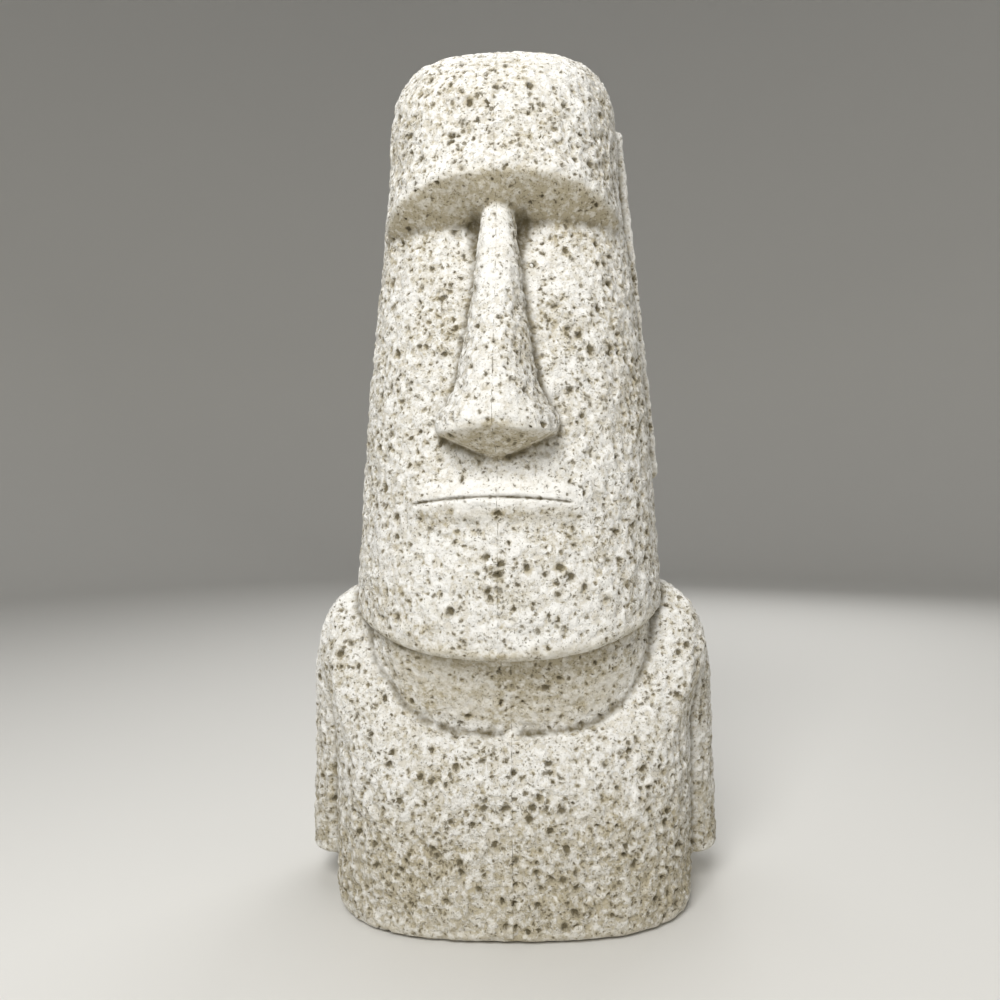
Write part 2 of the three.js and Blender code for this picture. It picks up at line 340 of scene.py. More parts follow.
# ---------------------------------------------------------------- pores of the casting
@dataclass(frozen=True)
class Holes:
    """Separate open holes of about one size, each drawn out in a direction of its own.

    Attributes:
        spacing: The distance between the places where a hole may be.
        share: How many of those places hold one.
        smallest: Half the width of the smallest.
        largest: Half the width of the largest.
        stretch: How drawn out they are: 0 is round, and near 1 is a long stroke.
        depth: How deep they go.
        bias: How far the small ones outnumber the large: 1 is even.
        rim: Where a hole starts and where its floor is reached, in half widths from its middle.
        ring: Where the stain round a hole starts and where it is full, in half widths.
    """

    spacing: float
    share: float
    smallest: float
    largest: float
    stretch: float
    depth: float
    bias: float = 1.7
    rim: Ramp = Ramp(1.15, 0.5)
    ring: Ramp = Ramp(2.3, 0.9)

    def add(self, graph: Graph, place: Any, crowding: Any) -> tuple[bpy.types.NodeSocket, ...]:
        """Adds these holes to a node tree.

        Args:
            graph: The tree to add to.
            place: The socket of the place, already pushed about.
            crowding: The socket of the local share of holes, about 1.

        Returns:
            The sockets of the hollow, 0 on the skin and 1 at a hole's floor, and of the wider halo.
        """
        cells = graph.add("ShaderNodeTexVoronoi", {"Vector": place, "Scale": 1 / self.spacing})
        colour = cells.outputs["Color"]
        picks = graph.add("ShaderNodeSeparateXYZ", {0: colour})
        offset = graph.vector("SUBTRACT", place, cells.outputs["Position"])
        mixed = graph.vector("FRACTION", graph.vector("MULTIPLY", colour, SHUFFLE))
        lean = graph.vector("NORMALIZE", graph.vector("SUBTRACT", mixed, MIDDLE))
        along = graph.dot(offset, lean)
        drawn = graph.math("MULTIPLY", graph.math("MULTIPLY", along, along), -self.stretch)
        distance = graph.math("SQRT", graph.math("ADD", graph.dot(offset, offset), drawn))
        few_large = graph.math("POWER", picks.outputs[1], self.bias)
        width = graph.math("MULTIPLY_ADD", few_large, self.largest - self.smallest, self.smallest)
        nearness = graph.math("DIVIDE", distance, width)
        held = graph.math("LESS_THAN", picks.outputs[0], graph.math("MULTIPLY", crowding, self.share))
        hollow = graph.math("MULTIPLY", graph.fit(nearness, self.rim), held)
        halo = graph.math("MULTIPLY", graph.fit(nearness, self.ring), held)
        return hollow, halo


@dataclass(frozen=True)
class Broken:
    """The sockets that tell how the skin is broken at a place.

    Attributes:
        holes: How far inside a hole it lies, from 0 to 1.
        pits: The same for the pits.
        strokes: The same for the strokes.
        halo: How near it lies to a hole or a pit.
        low: How low the uneven skin is there.
        depth: How deep all of it goes, in metres.
    """

    holes: bpy.types.NodeSocket
    pits: bpy.types.NodeSocket
    strokes: bpy.types.NodeSocket
    halo: bpy.types.NodeSocket
    low: bpy.types.NodeSocket
    depth: bpy.types.NodeSocket


@dataclass(frozen=True)
class Pores:
    """Everything that breaks the skin: holes, pits, fine strokes and soft lumps.

    Attributes:
        holes: The holes that read from a step away.
        pits: The many small pits between them.
        strokes: Short shallow strokes, which sheltered skin has too.
        stir: What pushes the rims of the holes about.
        ragged: How far they are pushed.
        clumps: The areas with more or fewer pores.
        crowded: How many pores such an area has.
        skin: The uneven patches between the pores.
        skin_low: Which of those patches are sunk.
        skin_depth: How deep they go.
        lumps: The soft lumps of the skin.
        lump_foot: Which places lie at the foot of a lump.
        lump_height: How far the lumps stand over the hollows between them.
    """

    holes: Holes = Holes(8.5 * MM, 0.55, 0.9 * MM, 2.8 * MM, 0.6, 2.0 * MM)
    pits: Holes = Holes(4.6 * MM, 0.7, 0.5 * MM, 1.5 * MM, 0.75, 1.1 * MM)
    strokes: Holes = Holes(3.3 * MM, 0.65, 0.3 * MM, 0.7 * MM, 0.92, 0.4 * MM)
    stir: Pattern = Pattern(4 * MM, 3.0, 0.7)
    ragged: float = 2.4 * MM
    clumps: Pattern = Pattern(60 * MM, 3.0, 0.6)
    crowded: Ramp = Ramp(0.36, 0.66, 0.5, 1.45)
    skin: Pattern = Pattern(5.5 * MM, 5.0, 0.62)
    skin_low: Ramp = Ramp(0.36, 0.66)
    skin_depth: float = 1.0 * MM
    lumps: Pattern = Pattern(13 * MM, 2.0, 0.5)
    lump_foot: Ramp = Ramp(0.68, 0.32)
    lump_height: float = 1.2 * MM

    def add(self, graph: Graph, place: Any, open_skin: Any) -> Broken:
        """Adds all pores and lumps to a node tree.

        Args:
            graph: The tree to add to.
            place: The socket of the place on the skin.
            open_skin: The socket of how open the skin is: 1 is common, and smooth skin is near 0.

        Returns:
            How the skin is broken at the place.
        """
        push = graph.vector("SUBTRACT", graph.noise(place, self.stir).outputs["Color"], MIDDLE)
        shift = graph.vector("MULTIPLY", push, (2 * self.ragged,) * 3)
        pushed = graph.vector("ADD", place, shift)
        clumped = graph.fit(graph.noise(place, self.clumps).outputs[0], self.crowded)
        crowding = graph.math("MULTIPLY", clumped, open_skin)
        holes, wide_halo = self.holes.add(graph, pushed, crowding)
        pits, small_halo = self.pits.add(graph, pushed, crowding)
        strokes, _ = self.strokes.add(graph, pushed, clumped)
        halo = graph.math("MAXIMUM", wide_halo, small_halo)
        sunk_skin = graph.fit(graph.noise(place, self.skin).outputs[0], self.skin_low)
        low = graph.math("MULTIPLY", sunk_skin, open_skin)
        foot = graph.fit(graph.noise(place, self.lumps).outputs[0], self.lump_foot)
        depth = graph.math("MULTIPLY", graph.math("MULTIPLY", foot, self.lump_height), open_skin)
        depth = graph.math("MULTIPLY_ADD", holes, self.holes.depth, depth)
        depth = graph.math("MULTIPLY_ADD", pits, self.pits.depth, depth)
        depth = graph.math("MULTIPLY_ADD", strokes, self.strokes.depth, depth)
        depth = graph.math("MULTIPLY_ADD", low, self.skin_depth, depth)
        return Broken(holes, pits, strokes, halo, low, depth)


# ---------------------------------------------------------------- finish
@dataclass(frozen=True)
class Wash:
    """The thin tan film that the antiquing wash leaves on the skin, and the tan painted shade on skin
    that faces down or lies near the ground.

    Attributes:
        patches: The broad patches that hold more of it.
        patch_share: How much such a patch holds.
        film_share: How much of the fine pattern is stained.
        low_share: How much the sunk skin holds.
        halo_share: How much the skin round a pore holds.
        kept: How much smooth skin keeps.
        shade_and_wash_share: How much tan the skin that faces down or lies near the ground gets: partly
            pooled wash, partly painted shade.
    """

    patches: Pattern = Pattern(45 * MM, 4.0, 0.62)
    patch_share: Ramp = Ramp(0.38, 0.68, 0.1, 1.0)
    film_share: Ramp = Ramp(0.4, 0.66, 0.0, 0.95)
    low_share: Ramp = Ramp(0.5, 1.0, 0.0, 0.5)
    halo_share: float = 0.45
    kept: Ramp = Ramp(0.0, 1.0, 1.0, 0.35)
    shade_and_wash_share: Ramp = Ramp(0.35, 0.6, 0.45, 0.95)


@dataclass(frozen=True)
class Stain:
    """The dark wash that has pooled, and the painted shade in creases.

    Attributes:
        specks: The finest dark specks.
        speck_core: Which places lie in a speck.
        speck_share: How dark the specks are over the fine pattern.
        speck_depth: How deep a speck goes.
        hole_share: How dark the holes are.
        pit_share: How dark the pits are.
        stroke_share: How dark the strokes are.
        crease_share: How dark the creases are over the fine pattern, as pooled wash and painted shade.
        seam_core: Which places lie on the mould seam, by their distance from its middle.
        dashes: The pattern that breaks the seam up.
        dash_share: How dark the seam is over that pattern.
    """

    specks: Pattern = Pattern(1.6 * MM, 2.0, 0.6)
    speck_core: Ramp = Ramp(0.56, 0.67)
    speck_share: Ramp = Ramp(0.42, 0.6, 0.15, 0.8)
    speck_depth: float = 0.3 * MM
    hole_share: float = 0.95
    pit_share: float = 0.75
    stroke_share: float = 0.75
    crease_share: Ramp = Ramp(0.25, 0.6, 0.6, 1.0)
    seam_core: Ramp = Ramp(0.6 * MM, 0.15 * MM)
    dashes: Pattern = Pattern(9 * MM, 3.0, 0.7)
    dash_share: Ramp = Ramp(0.48, 0.58, 0.0, 0.7)


@dataclass(frozen=True)
class CastStone:
    """Cast stone with an antiquing wash: cream on the high skin, olive brown in pores and creases, with
    painted shade in creases and under the form and painted highlight on edges.

    Attributes:
        cream: The stone where the wash is wiped off.
        chalk_and_highlight: The palest edges: rubbed clean of wash, and also a painted highlight.
        tan: The thin film of the wash, also used as painted shade on skin that faces down or lies near
            the ground.
        olive: The wash where it has pooled, also the painted shade in creases.
        film: The fine pattern that the wash dried in.
        wash: How the film and the tan painted shade lie.
        stain: How the pooled wash and the painted shade in creases lie.
        rubbed_edge_and_highlight: How much of the pale rubbed colour, which is also a painted highlight,
            an edge gets, by how stained it is.
        grain: The sand grain.
        grain_height: How far the grain stands proud.
        relief: How strongly the grain and the pores catch the light.
        matt: How matt the stone is, from its skin to its stains.
        sheen: How much it mirrors.
        pores: The pores that the wash has pooled in.
    """

    cream: Colour = (0.90, 0.89, 0.855, 1)
    chalk_and_highlight: Colour = (0.92, 0.915, 0.88, 1)
    tan: Colour = (0.48, 0.425, 0.305, 1)
    olive: Colour = (0.15, 0.125, 0.072, 1)
    film: Pattern = Pattern(6 * MM, 5.0, 0.72)
    wash: Wash = Wash()
    stain: Stain = Stain()
    rubbed_edge_and_highlight: Ramp = Ramp(0.5, 0.1, 0.0, 0.7)
    grain: Pattern = Pattern(0.8 * MM, 4.0, 0.6)
    grain_height: float = 0.5 * MM
    relief: float = 0.8
    matt: Ramp = Ramp(0.0, 1.0, 0.88, 1.0)
    sheen: float = 0.25
    pores: Pores = Pores()

    def material(self) -> bpy.types.Material:
        """Builds the finish.

        Returns:
            The material, which reads the values that the skin carries.
        """
        stone = bpy.data.materials.new("antiqued cast stone")
        stone.use_nodes = True
        graph = Graph(stone.node_tree)
        shader = stone.node_tree.nodes["Principled BSDF"]
        nodes = {name: graph.add("ShaderNodeAttribute", attribute_name=name.value) for name in Carried}
        place = nodes[Carried.PLACE].outputs["Vector"]
        carried = {name: node.outputs["Fac"] for name, node in nodes.items()}
        broken = self.pores.add(graph, place, carried[Carried.OPEN])
        film = graph.noise(place, self.film).outputs[0]
        kept = graph.fit(carried[Carried.RUBBED], self.wash.kept)

        washed_and_shaded = self.washed_and_shaded(graph, place, film, kept, carried, broken)
        specks = self.speckled(graph, place, film, kept)
        pooled = self.pooled(graph, place, film, specks, carried, broken)
        stained = graph.blend(pooled, graph.blend(washed_and_shaded, self.cream, self.tan), self.olive)
        # Raised edges turn chalk: partly rubbed clean of wash, partly painted highlight.
        pale = graph.math("MULTIPLY", carried[Carried.EDGE], graph.fit(pooled, self.rubbed_edge_and_highlight))
        graph.link(graph.blend(pale, stained, self.chalk_and_highlight), shader.inputs["Base Color"])

        grit = graph.math("MULTIPLY", graph.noise(place, self.grain).outputs[0], self.grain_height)
        fine = graph.math("MULTIPLY_ADD", specks, -self.stain.speck_depth, grit)
        rise = graph.math("SUBTRACT", fine, broken.depth)
        bump = graph.add("ShaderNodeBump", {"Height": rise, "Strength": self.relief, "Distance": 1.0})
        graph.link(bump.outputs[0], shader.inputs["Normal"])
        graph.link(graph.fit(pooled, self.matt), shader.inputs["Roughness"])
        shader.inputs["Specular IOR Level"].default_value = self.sheen
        return stone

    def washed_and_shaded(
        self,
        graph: Graph,
        place: Any,
        film: Any,
        kept: Any,
        carried: dict[Carried, Any],
        broken: Broken,
    ) -> bpy.types.NodeSocket:
        """Adds how much of the tan film shows, with tan painted shade on skin that faces down or lies
        near the ground.

        Args:
            graph: The finish's tree.
            place: The socket of the place on the skin.
            film: The socket of the fine pattern.
            kept: The socket of how much wash the skin keeps.
            carried: The sockets of what the skin carries.
            broken: How the skin is broken.

        Returns:
            The socket of the amount of tan film and tan painted shade.
        """
        patches = graph.noise(place, self.wash.patches).outputs[0]
        fresh = graph.fit(patches, self.wash.patch_share)
        washed_and_shaded = graph.math("MULTIPLY", fresh, graph.fit(film, self.wash.film_share))
        washed_and_shaded = graph.math("MAXIMUM", washed_and_shaded, graph.fit(broken.low, self.wash.low_share))
        washed_and_shaded = graph.math("MULTIPLY_ADD", broken.halo, self.wash.halo_share, washed_and_shaded)
        washed_and_shaded = graph.math("MULTIPLY", washed_and_shaded, kept)
        # Skin that faces down, or lies near the ground, gets extra tan: partly pooled wash, partly
        # painted shade.
        shade_and_wash = graph.fit(film, self.wash.shade_and_wash_share)
        return graph.math("ADD", washed_and_shaded, graph.math("MULTIPLY", carried[Carried.SHADE_AND_WASH], shade_and_wash))

    def speckled(self, graph: Graph, place: Any, film: Any, kept: Any) -> bpy.types.NodeSocket:
        """Adds how dark the finest specks are.

        Args:
            graph: The finish's tree.
            place: The socket of the place on the skin.
            film: The socket of the fine pattern.
            kept: The socket of how much wash the skin keeps.

        Returns:
            The socket of the specks' darkness.
        """
        specks = graph.fit(graph.noise(place, self.stain.specks).outputs[0], self.stain.speck_core)
        speckled = graph.math("MULTIPLY", specks, graph.fit(film, self.stain.speck_share))
        return graph.math("MULTIPLY", speckled, kept)

    def pooled(
        self,
        graph: Graph,
        place: Any,
        film: Any,
        specks: Any,
        carried: dict[Carried, Any],
        broken: Broken,
    ) -> bpy.types.NodeSocket:
        """Adds how much of the pooled dark wash, and of the painted shade in creases, shows.

        Args:
            graph: The finish's tree.
            place: The socket of the place on the skin.
            film: The socket of the fine pattern.
            specks: The socket of the specks' darkness.
            carried: The sockets of what the skin carries.
            broken: How the skin is broken.

        Returns:
            The socket of the stain's amount, which is the darkest of its parts.
        """
        stain = self.stain
        seam_core = graph.fit(graph.math("ABSOLUTE", carried[Carried.SEAM]), stain.seam_core)
        dashes = graph.fit(graph.noise(place, stain.dashes).outputs[0], stain.dash_share)
        parts = (
            graph.math("MULTIPLY", broken.holes, stain.hole_share),
            graph.math("MULTIPLY", broken.pits, stain.pit_share),
            graph.math("MULTIPLY", broken.strokes, stain.stroke_share),
            # Creases darken with olive: partly pooled wash, partly painted shade.
            graph.math("MULTIPLY", carried[Carried.CREASE], graph.fit(film, stain.crease_share)),
            graph.math("MULTIPLY", seam_core, dashes),
        )
        darkest = specks
        for part in parts:
            darkest = graph.math("MAXIMUM", darkest, part)
        return darkest


# ---------------------------------------------------------------- the statue
@dataclass(frozen=True)
class HeadPlace:
    """How the head sits on the torso.

    Attributes:
        turn: Its turn about +Z, in degrees.
        shift: How far it sits to the side.
        lowest: The height above which a point belongs to the head.
    """

    turn: float = -4.0
    shift: float = -0.8 * MM
    lowest: float = 200 * MM

    def inside(self, points: np.ndarray) -> np.ndarray:
        """Turns places on the statue into places on a head that faces -Y.

        Args:
            points: One row of x, y, z for each place.

        Returns:
            The same places as the head sees them.
        """
        angle = math.radians(-self.turn)
        x = points[:, 0] - self.shift
        y = points[:, 1]
        across = x * math.cos(angle) - y * math.sin(angle)
        along = x * math.sin(angle) + y * math.cos(angle)
        return np.column_stack([across, along, points[:, 2]])


@dataclass(frozen=True)
class Mouth:
    """The slit between the lips.

    Attributes:
        height: Its height in the middle.
        half_width: How far it runs to each side.
        middle: How far its middle lies to the side.
        fall: How far its ends lie below the middle.
        half_open: Half the width of the slit.
        half_floor: Half the width of its floor.
        depth: How deep it is cut.
        taper: How long its shallow ends are.
        front: How far forward a place lies to be on the face.
    """

    height: float = 324.6 * MM
    half_width: float = 64 * MM
    middle: float = -5 * MM
    fall: float = 5.5 * MM
    half_open: float = 1.3 * MM
    half_floor: float = 0.2 * MM
    depth: float = 2.4 * MM
    taper: float = 9 * MM
    front: float = -60 * MM

    def offset(self, seen: np.ndarray) -> np.ndarray:
        """Gives the height of each place above the middle of the slit."""
        share = np.abs(seen[:, 0] - self.middle) / self.half_width
        return seen[:, 2] - (self.height - self.fall * share**2)

    def sunk(self, seen: np.ndarray) -> np.ndarray:
        """Gives how deep the slit is at each place.

        Args:
            seen: Places as the head sees them.

        Returns:
            Depths in metres.
        """
        off = np.abs(self.offset(seen))
        out = np.abs(seen[:, 0] - self.middle)
        along = ease(out, self.half_width, self.half_width - self.taper)
        return self.depth * along * ease(off, self.half_open, self.half_floor) * (seen[:, 1] < self.front)

    def near(self, seen: np.ndarray, margin: float) -> np.ndarray:
        """Tells which places lie near the slit.

        Args:
            seen: Places as the head sees them.
            margin: How far off they may lie.

        Returns:
            True for each place that is near.
        """
        across = np.abs(seen[:, 0]) < self.half_width + margin
        return (np.abs(self.offset(seen)) < margin) & (seen[:, 1] < self.front) & across


@dataclass(frozen=True)
class Dent:
    """A soft hollow cut into the skin, alike on both sides where it lies off the middle.

    Attributes:
        across: How far it lies from the middle.
        forward: How far in front of the middle it lies.
        height: Its height.
        wide: Half its width.
        high: Half its height.
        deep: How far it reaches back and forward.
        depth: How deep it is cut.
    """

    across: float
    forward: float
    height: float
    wide: float
    high: float
    deep: float
    depth: float

    def sunk(self, seen: np.ndarray) -> np.ndarray:
        """Gives how deep the dent is at each place.

        Args:
            seen: Places as the head sees them.

        Returns:
            Depths in metres.
        """
        off = (np.abs(seen[:, 0]) - self.across) / self.wide
        climb = (seen[:, 2] - self.height) / self.high
        back = (seen[:, 1] + self.forward) / self.deep
        return self.depth * np.exp(-(off**2) - climb**2 - back**2)


@dataclass(frozen=True)
class MouldSeam:
    """The thin ridge left where the two halves of the mould met.

    Attributes:
        half_width: Half its width.
        half_crest: Half the width of its crest.
        height: How far it stands proud.
        foot: Where it fades out above the ground.
    """

    half_width: float = 0.9 * MM
    half_crest: float = 0.2 * MM
    height: float = 0.35 * MM
    foot: Span = (4 * MM, 12 * MM)

    def raised(self, side: np.ndarray, heights: np.ndarray) -> np.ndarray:
        """Gives how far the ridge stands proud at each distance from its middle and each height."""
        across = ease(np.abs(side), self.half_width, self.half_crest)
        return self.height * across * ease(heights, *self.foot)


@dataclass(frozen=True)
class Wear:
    """Where the skin is rubbed smooth, where it is weathered open, and where shade is painted on it.

    Attributes:
        fine_passes: How many passes even out the small relief.
        broad_passes: How many passes leave only the broad form.
        edge_relief: How far an edge stands over the broad form, from where it counts to its full.
        crease_relief: How far a crease lies under the small relief, in the same way.
        facing_down: How far down skin faces to lose pores and to get tan that is partly pooled wash and
            partly painted shade, in the same way.
        splash: How strong the painted shade is that darkens the skin towards the ground.
        ground_shade_height: Where that painted shade towards the ground fades in.
        edges: How smooth the edges are.
        lips: How smooth the lips are.
        lip_middle: How far the middle of the lips lies above the slit.
        lip_reach: How far from that middle the lips fade in.
        lip_ends: How far beyond and short of the slit's ends the lips fade in.
        face: How far forward the face fades in.
        nose: How smooth the front of the nose is.
        nose_front: How far forward the front of the nose fades in.
        nose_height: How high it fades in.
        bridge: How smooth the bridge of the nose is.
        bridge_half: How far from the middle the bridge fades in.
        bridge_height: How high it fades in.
        bridge_top: Where it fades out under the brow.
        base_facing: How far down the underside faces.
        base_height: Where the underside fades in.
        closing: How far smooth skin loses its pores.
        closing_under: How far skin that faces down counts as smooth.
        side_gain: How many more pores the sides have.
        side_facing: How far sideways they face.
        low_gain: How many more pores the lower body has.
        low_height: Where the lower body fades in.
    """

    fine_passes: int = 50
    broad_passes: int = 180
    edge_relief: Span = (0.7 * MM, 2.6 * MM)
    crease_relief: Span = (-0.2 * MM, -1.1 * MM)
    facing_down: Span = (0.05, 0.5)
    splash: float = 0.5
    ground_shade_height: Span = (130 * MM, 20 * MM)
    edges: float = 0.6
    lips: float = 0.65
    lip_middle: float = 3 * MM
    lip_reach: Span = (16 * MM, 6 * MM)
    lip_ends: float = 14 * MM
    face: Span = (-70 * MM, -85 * MM)
    nose: float = 0.3
    nose_front: Span = (-108 * MM, -126 * MM)
    nose_height: Span = (350 * MM, 356 * MM)
    bridge: float = 0.4
    bridge_half: Span = (19 * MM, 12 * MM)
    bridge_height: Span = (450 * MM, 500 * MM)
    bridge_top: Span = (546 * MM, 538 * MM)
    base_facing: Span = (-0.9, -0.98)
    base_height: Span = (4 * MM, 1 * MM)
    closing: float = 0.9
    closing_under: float = 0.75
    side_gain: float = 0.3
    side_facing: Span = (0.3, 0.8)
    low_gain: float = 0.3
    low_height: Span = (180 * MM, 70 * MM)

    def rubbed(
        self, seen: np.ndarray, mouth: Mouth, edge: np.ndarray, normals: np.ndarray
    ) -> np.ndarray:
        """Gives how smooth the skin is: edges, lips, nose and the underside have few pores.

        Args:
            seen: Places as the head sees them.
            mouth: The slit between the lips.
            edge: How much each place stands over the broad form, from 0 to 1.
            normals: Outward directions.

        Returns:
            Numbers from 0, open and pitted, to 1, smooth.
        """
        out = np.abs(seen[:, 0])
        forward = seen[:, 1]
        height = seen[:, 2]
        on_face = ease(forward, *self.face)
        lips = ease(np.abs(mouth.offset(seen) - self.lip_middle), *self.lip_reach) * on_face
        lips *= ease(out, mouth.half_width + self.lip_ends, mouth.half_width - self.lip_ends)
        nose = ease(forward, *self.nose_front) * ease(height, *self.nose_height)
        bridge = ease(out, *self.bridge_half) * ease(height, *self.bridge_height) * on_face
        bridge *= ease(height, *self.bridge_top)
        base = ease(normals[:, 2], *self.base_facing) * ease(height, *self.base_height)
        parts = [edge * self.edges, lips * self.lips, nose * self.nose, bridge * self.bridge, base]
        return np.maximum.reduce(parts)

    def opened(
        self, heights: np.ndarray, rubbed: np.ndarray, under: np.ndarray, normals: np.ndarray
    ) -> np.ndarray:
        """Gives how open the skin is.

        Args:
            heights: The height of each place.
            rubbed: How smooth each place is, from 0 to 1.
            under: How far each place faces down, from 0 to 1.
            normals: Outward directions.

        Returns:
            Numbers from near 0, without pores, past 1, with more than is common.
        """
        sideways = ease(np.abs(normals[:, 0]), *self.side_facing)
        weathered = 1 + self.side_gain * sideways + self.low_gain * ease(heights, *self.low_height)
        closed = self.closing * np.maximum(rubbed, self.closing_under * under)
        return (1 - closed) * weathered


@dataclass
class Statue:
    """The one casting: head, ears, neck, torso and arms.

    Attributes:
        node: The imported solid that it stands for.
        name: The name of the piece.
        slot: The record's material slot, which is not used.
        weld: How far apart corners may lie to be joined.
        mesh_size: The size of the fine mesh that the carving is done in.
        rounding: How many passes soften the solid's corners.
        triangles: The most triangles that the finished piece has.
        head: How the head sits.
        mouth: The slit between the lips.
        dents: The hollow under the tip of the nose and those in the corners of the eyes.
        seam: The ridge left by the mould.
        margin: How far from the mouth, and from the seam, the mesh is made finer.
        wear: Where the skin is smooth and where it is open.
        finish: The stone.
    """

    node: str = "moai_statue"
    name: str = "moai_casting"
    slot: str = "cast_stone"
    weld: float = 0.01 * MM
    mesh_size: float = 1.5 * MM
    rounding: int = 7
    triangles: int = 195000
    head: HeadPlace = HeadPlace()
    mouth: Mouth = Mouth()
    dents: tuple[Dent, ...] = (
        Dent(0, 128 * MM, 367 * MM, 10 * MM, 3.5 * MM, 12 * MM, 3.5 * MM),
        Dent(20 * MM, 66 * MM, 528 * MM, 5 * MM, 15 * MM, 12 * MM, 6 * MM),
    )
    seam: MouldSeam = MouldSeam()
    margin: Span = (4 * MM, 3 * MM)
    wear: Wear = Wear()
    finish: CastStone = CastStone()

    def build(self) -> bpy.types.Object:
        """Makes the casting's skin and dresses it.

        Returns:
            The finished piece.
        """
        skin = self.rough_skin()
        self.carve(skin)
        self.measure(skin)
        self.sink_pores(skin)
        self.thin(skin)
        self.trim(skin)
        self.dress(skin)
        return skin

    def rough_skin(self) -> bpy.types.Object:
        """Copies the solid and turns it into an even fine mesh with soft corners."""
        solid = frame["nodes"][self.node]
        make_active(solid)
        bpy.ops.object.duplicate()
        skin = bpy.context.view_layer.objects.active
        skin.name = self.name
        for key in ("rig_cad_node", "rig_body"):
            if key in skin:
                del skin[key]
        bpy.ops.object.mode_set(mode="EDIT")
        bpy.ops.mesh.select_all(action="SELECT")
        bpy.ops.mesh.remove_doubles(threshold=self.weld)
        bpy.ops.object.mode_set(mode="OBJECT")
        apply_modifier(skin, "REMESH", mode="VOXEL", voxel_size=self.mesh_size)
        apply_modifier(skin, "SMOOTH", factor=SMOOTHING, iterations=self.rounding)
        return skin

    def carve(self, skin: bpy.types.Object) -> None:
        """Cuts the mouth and the dents and raises the mould seam.

        Args:
            skin: The fine mesh.
        """
        self.refine(skin)
        points = read_points(skin)
        normals = read_normals(skin)
        seen = self.head.inside(points)
        side = self.seam_side(points, seen)
        rise = self.seam.raised(side, points[:, 2]) - self.mouth.sunk(seen)
        facing = np.clip(-normals[:, 1], 0, 1)
        for dent in self.dents:
            rise -= dent.sunk(seen) * facing
        write_points(skin, points + normals * rise[:, None])
        carry(skin, Carried.SEAM, side)

    def seam_side(self, points: np.ndarray, seen: np.ndarray) -> np.ndarray:
        """Gives how far each place lies to the side of the seam, which turns with the head."""
        return np.where(points[:, 2] > self.head.lowest, seen[:, 0], points[:, 0])

    def refine(self, skin: bpy.types.Object) -> None:
        """Halves the mesh along the mouth and the seam, where the carving is narrow."""
        make_active(skin)
        bpy.ops.object.mode_set(mode="EDIT")
        bpy.ops.mesh.select_all(action="DESELECT")
        bpy.ops.object.mode_set(mode="OBJECT")
        centres = np.empty(len(skin.data.polygons) * 3, np.float32)
        skin.data.polygons.foreach_get("center", centres)
        centres = centres.reshape(-1, 3).astype(float)
        seen = self.head.inside(centres)
        by_mouth, by_seam = self.margin
        near_seam = np.abs(self.seam_side(centres, seen)) < by_seam
        near_mouth = self.mouth.near(seen, by_mouth)
        skin.data.polygons.foreach_set("select", near_seam | near_mouth)
        bpy.ops.object.mode_set(mode="EDIT")
        bpy.ops.mesh.select_mode(type="FACE")
        bpy.ops.mesh.subdivide(number_cuts=1)
        bpy.ops.object.mode_set(mode="OBJECT")

    def measure(self, skin: bpy.types.Object) -> None:
        """Measures how far each place stands over or under the broad form, and how open it is.

        Args:
            skin: The carved mesh.
        """
        wear = self.wear
        points = read_points(skin)
        normals = read_normals(skin)
        heights = points[:, 2]
        make_active(skin)
        bpy.ops.object.duplicate()
        broad = bpy.context.view_layer.objects.active
        apply_modifier(broad, "SMOOTH", factor=SMOOTHING, iterations=wear.fine_passes)
        fine_relief = np.einsum("ij,ij->i", points - read_points(broad), normals)
        apply_modifier(broad, "SMOOTH", factor=SMOOTHING, iterations=wear.broad_passes - wear.fine_passes)
        broad_relief = np.einsum("ij,ij->i", points - read_points(broad), normals)
        facing_down = -read_normals(broad)[:, 2]
        bpy.data.objects.remove(broad)

        edge = ease(broad_relief, *wear.edge_relief)
        rubbed = wear.rubbed(self.head.inside(points), self.mouth, edge, normals)
        under = ease(facing_down, *wear.facing_down)
        # Painted shade that darkens the skin towards the ground.
        ground_shaded = wear.splash * ease(heights, *wear.ground_shade_height)
        # Raised edges carry pale colour that is partly rubbed wear and partly painted highlight.
        carry(skin, Carried.EDGE, edge)
        # Creases carry dark colour that is partly pooled wash and partly painted shade.
        carry(skin, Carried.CREASE, ease(fine_relief, *wear.crease_relief))
        carry(skin, Carried.RUBBED, rubbed)
        # Tan on skin that faces down, partly pooled wash and partly painted shade, joined by the painted
        # shade towards the ground.
        carry(skin, Carried.SHADE_AND_WASH, np.maximum(under, ground_shaded))
        carry(skin, Carried.OPEN, wear.opened(heights, rubbed, under, normals))

    def sink_pores(self, skin: bpy.types.Object) -> None:
        """Sinks the pores and lumps into the mesh and stores where the skin lay before.

        Args:
            skin: The measured mesh.
        """
        tree, graph, start = geometry_tree("sink pores")
        place = graph.add("GeometryNodeInputPosition").outputs[0]
        normal = graph.add("GeometryNodeInputNormal").outputs[0]
        inputs = {"Name": Carried.OPEN.value}
        named = graph.add("GeometryNodeInputNamedAttribute", inputs, data_type="FLOAT")
        inputs = {"Geometry": start, "Name": Carried.PLACE.value, "Value": place}
        settings = {"data_type": "FLOAT_VECTOR", "domain": "POINT"}
        stored = graph.add("GeometryNodeStoreNamedAttribute", inputs, **settings)
        broken = self.finish.pores.add(graph, place, named.outputs[0])
        inward = graph.math("MULTIPLY", broken.depth, -1.0)
        offset = graph.add("ShaderNodeVectorMath", {0: normal, "Scale": inward}, operation="SCALE")
        inputs = {"Geometry": stored.outputs[0], "Offset": offset.outputs[0]}
        moved = graph.add("GeometryNodeSetPosition", inputs)
        graph.add("NodeGroupOutput", {0: moved.outputs[0]})
        apply_modifier(skin, "NODES", node_group=tree)

